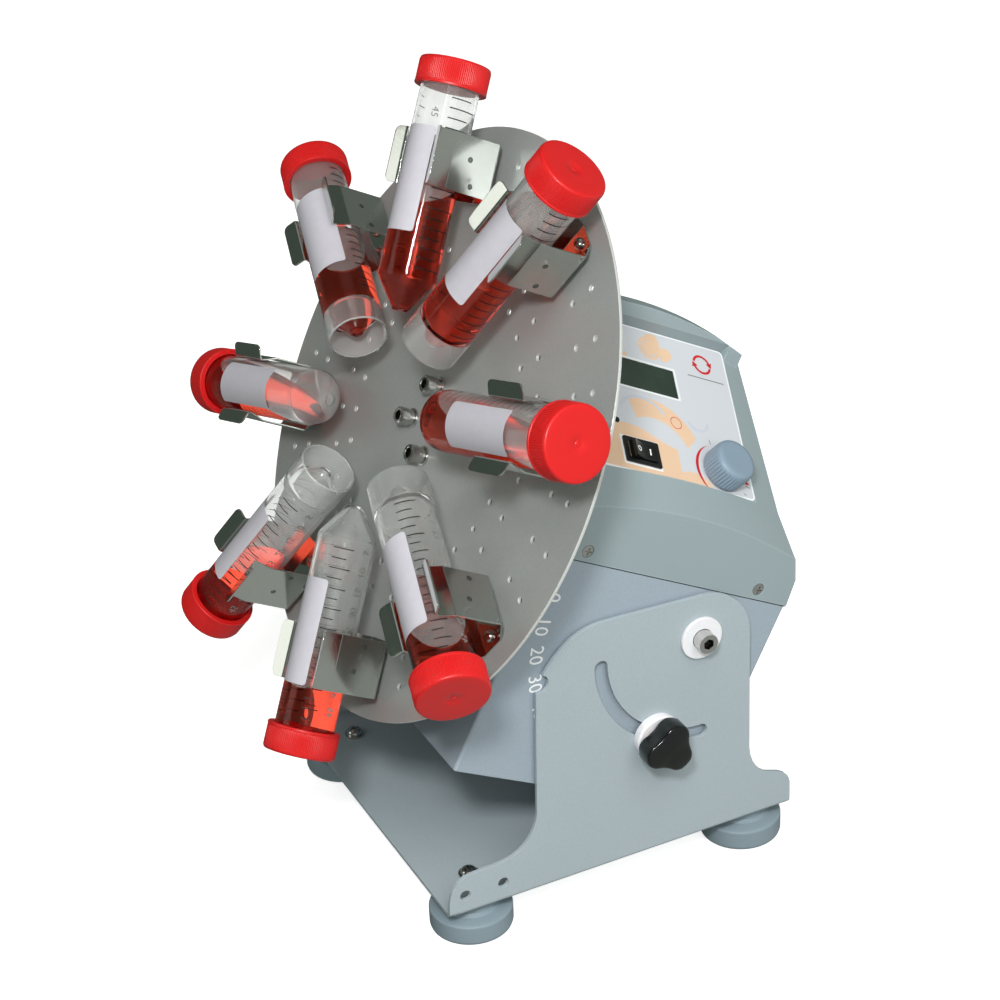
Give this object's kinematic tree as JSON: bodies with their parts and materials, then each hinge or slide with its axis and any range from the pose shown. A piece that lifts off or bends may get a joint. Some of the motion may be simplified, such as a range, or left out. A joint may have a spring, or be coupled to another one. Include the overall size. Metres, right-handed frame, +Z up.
{
  "type": "tube rotator",
  "caption": "Bench tube rotator: a tilting motor head on a bent sheet base turns a round disc that carries capped sample tubes in spring clips.",
  "frame": {"origin": "on the bench, under the middle of the base frame", "axes": "+Z up, +X to the back of the head, -Y towards the operator; the disc faces -X and up"},
  "size_m": [0.2829, 0.3218, 0.3936],
  "materials": {
    "frame_paint": "fine satin light blue-grey powder paint",
    "chassis_paint": "satin blue-grey paint",
    "foot_plastic": "satin moulded plastic",
    "cover_plastic": "fine grained moulded plastic",
    "label_film": "printed satin film",
    "screw_steel": "bright zinc and stainless steel",
    "washer_nylon": "white nylon",
    "black_gloss": "glossy black plastic",
    "knob_plastic": "satin blue-grey plastic",
    "window": "dark tinted window",
    "board_green": "solder mask",
    "encoder_body": "moulded housing",
    "gear_alloy": "machined alloy",
    "motor_can": "dark motor can",
    "bracket_steel": "zinc plated sheet",
    "bearing_steel": "bearing steel",
    "disc_alloy": "satin grey anodised sheet",
    "clip_steel": "bright spring stainless steel",
    "tube_clear": "clear polypropylene",
    "cap_red": "red moulded plastic"
  },
  "bodies": {
    "base": {"base_frame": "frame_paint", "feet": "foot_plastic", "foot_screws": "screw_steel", "foot_washers": "screw_steel"},
    "head": {"chassis": "chassis_paint", "rear_panel": "chassis_paint", "rear_screws": "screw_steel", "top_cover": "cover_plastic", "cover_screws": "screw_steel", "label_panel": "label_film", "pivot_screws": "screw_steel", "pivot_washers": "washer_nylon", "pivot_spacers": "washer_nylon", "pivot_nuts": "screw_steel", "clamp_studs": "screw_steel", "clamp_washers": "washer_nylon", "clamp_nut": "screw_steel", "lcd_window": "window", "display_module": "board_green", "switch_housing": "black_gloss", "status_led": "black_gloss", "encoder": "encoder_body", "control_board": "board_green", "board_posts": "screw_steel", "power_jack": "black_gloss", "gearbox": "gear_alloy", "motor": "motor_can", "motor_bracket": "bracket_steel", "motor_screws": "screw_steel", "bracket_screws": "screw_steel", "bearing_housing": "gear_alloy", "shaft_bearings": "bearing_steel"},
    "rotor": {"drive_shaft": "screw_steel", "shaft_coupling": "gear_alloy", "disc_hub": "gear_alloy", "disc": "disc_alloy", "hub_screws": "screw_steel", "hub_washers": "screw_steel", "tube_clips": "clip_steel", "clip_screws": "screw_steel"},
    "knob_shaft": {"encoder_shaft": "screw_steel"},
    "knob": {"speed_knob": "knob_plastic"},
    "rocker": {"rocker": "black_gloss"},
    "clamp": {"clamp_knob": "black_gloss"},
    "tube_1_b": {"tube_1": "tube_clear"},
    "cap_1_b": {"cap_1": "cap_red"},
    "tube_2_b": {"tube_2": "tube_clear"},
    "cap_2_b": {"cap_2": "cap_red"},
    "tube_3_b": {"tube_3": "tube_clear"},
    "cap_3_b": {"cap_3": "cap_red"},
    "tube_4_b": {"tube_4": "tube_clear"},
    "cap_4_b": {"cap_4": "cap_red"},
    "tube_5_b": {"tube_5": "tube_clear"},
    "cap_5_b": {"cap_5": "cap_red"},
    "tube_6_b": {"tube_6": "tube_clear"},
    "cap_6_b": {"cap_6": "cap_red"},
    "tube_7_b": {"tube_7": "tube_clear"},
    "cap_7_b": {"cap_7": "cap_red"},
    "tube_8_b": {"tube_8": "tube_clear"},
    "cap_8_b": {"cap_8": "cap_red"}
  },
  "joints": [
    {"name": "head_tilt", "type": "hinge", "parent": "base", "child": "head", "pos_m": [0.0436, 0, 0.1349], "axis": [0, 1, 0], "range_deg": [-28, 62]},
    {"name": "rotor_spin", "type": "hinge", "parent": "head", "child": "rotor", "pos_m": [-0.04723, 0, 0.23246], "axis": [-0.8829, 0, 0.4695], "continuous": true},
    {"name": "knob_push", "type": "slide", "parent": "head", "child": "knob_shaft", "axis": [-0.3846, 0.5736, -0.7233], "range_m": [0, 0.0005], "stiffness_N_per_m": 4000, "springref_m": -0.0003},
    {"name": "knob_turn", "type": "hinge", "parent": "knob_shaft", "child": "knob", "pos_m": [0.07351, -0.0632, 0.20051], "axis": [0.3846, -0.5736, 0.7233], "continuous": true},
    {"name": "rocker_tip", "type": "hinge", "parent": "head", "child": "rocker", "pos_m": [0.03101, -0.06328, 0.22305], "axis": [0.2693, 0.8192, 0.5064], "range_deg": [-18, 0]},
    {"name": "clamp_turn", "type": "hinge", "parent": "head", "child": "clamp", "pos_m": [0.01844, -0.0948, 0.08757], "axis": [0, -1, 0], "range_deg": [0, 360]},
    {"name": "tube_1_pull", "type": "slide", "parent": "rotor", "child": "tube_1_b", "axis": [0.446, 0.3123, 0.8388], "range_m": [0, 0.09]},
    {"name": "cap_1_turn", "type": "hinge", "parent": "tube_1_b", "child": "cap_1_b", "pos_m": [-0.00717, 0.04685, 0.37255], "axis": [0.446, 0.3123, 0.8388], "range_deg": [0, 450]},
    {"name": "tube_2_pull", "type": "slide", "parent": "rotor", "child": "tube_2_b", "axis": [0.419, -0.4509, 0.7881], "range_m": [0, 0.09]},
    {"name": "cap_2_turn", "type": "hinge", "parent": "tube_2_b", "child": "cap_2_b", "pos_m": [-0.01121, -0.06763, 0.36495], "axis": [0.419, -0.4509, 0.7881], "range_deg": [0, 450]},
    {"name": "tube_3_pull", "type": "slide", "parent": "rotor", "child": "tube_3_b", "axis": [0.1466, -0.95, 0.2758], "range_m": [0, 0.09]},
    {"name": "cap_3_turn", "type": "hinge", "parent": "tube_3_b", "child": "cap_3_b", "pos_m": [-0.05208, -0.1425, 0.2881], "axis": [0.1466, -0.95, 0.2758], "range_deg": [0, 450]},
    {"name": "tube_4_pull", "type": "slide", "parent": "rotor", "child": "tube_4_b", "axis": [-0.2117, -0.8926, -0.3981], "range_m": [0, 0.09]},
    {"name": "cap_4_turn", "type": "hinge", "parent": "tube_4_b", "child": "cap_4_b", "pos_m": [-0.10582, -0.13389, 0.18702], "axis": [-0.2117, -0.8926, -0.3981], "range_deg": [0, 450]},
    {"name": "tube_5_pull", "type": "slide", "parent": "rotor", "child": "tube_5_b", "axis": [-0.446, -0.3123, -0.8388], "range_m": [0, 0.09]},
    {"name": "cap_5_turn", "type": "hinge", "parent": "tube_5_b", "child": "cap_5_b", "pos_m": [-0.14097, -0.04685, 0.12092], "axis": [-0.446, -0.3123, -0.8388], "range_deg": [0, 450]},
    {"name": "tube_6_pull", "type": "slide", "parent": "rotor", "child": "tube_6_b", "axis": [-0.419, 0.4509, -0.7881], "range_m": [0, 0.09]},
    {"name": "cap_6_turn", "type": "hinge", "parent": "tube_6_b", "child": "cap_6_b", "pos_m": [-0.13693, 0.06763, 0.12852], "axis": [-0.419, 0.4509, -0.7881], "range_deg": [0, 450]},
    {"name": "tube_7_pull", "type": "slide", "parent": "rotor", "child": "tube_7_b", "axis": [-0.1466, 0.95, -0.2758], "range_m": [0, 0.09]},
    {"name": "cap_7_turn", "type": "hinge", "parent": "tube_7_b", "child": "cap_7_b", "pos_m": [-0.09607, 0.1425, 0.20537], "axis": [-0.1466, 0.95, -0.2758], "range_deg": [0, 450]},
    {"name": "tube_8_pull", "type": "slide", "parent": "rotor", "child": "tube_8_b", "axis": [0.2117, 0.8926, 0.3981], "range_m": [0, 0.09]},
    {"name": "cap_8_turn", "type": "hinge", "parent": "tube_8_b", "child": "cap_8_b", "pos_m": [-0.04232, 0.13389, 0.30645], "axis": [0.2117, 0.8926, 0.3981], "range_deg": [0, 450]}
  ]
}
